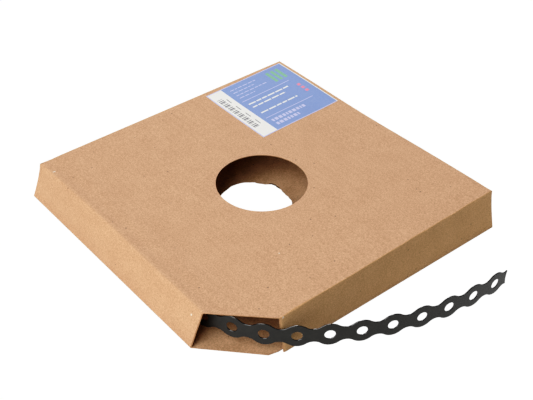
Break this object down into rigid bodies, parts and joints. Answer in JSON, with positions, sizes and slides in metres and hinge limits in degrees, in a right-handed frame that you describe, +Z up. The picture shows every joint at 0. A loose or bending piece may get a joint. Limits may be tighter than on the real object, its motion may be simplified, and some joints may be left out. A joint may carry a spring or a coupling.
{
  "type": "perforated steel strap",
  "caption": "Perforated steel strap with wavy edges and a round hole in each wave, coiled in a flat board carton whose open corner dispenses it.",
  "frame": {"origin": "middle of the footprint, on the floor that the carton lies on", "axes": "+Z up, out of the carton's top panel; +X along the longest side of the whole part, towards the wall that the free end runs beside; +Y away from the mouth corner, along the free end"},
  "size_m": [0.3098, 0.253, 0.0351],
  "materials": {
    "board": "thin brown kraft board, matt",
    "black_steel": "thin black coating, satin",
    "label_paper": "printed paper, satin"
  },
  "bodies": {
    "root": {"carton": "board", "perforated_strap": "black_steel", "label": "label_paper"}
  },
  "joints": []
}
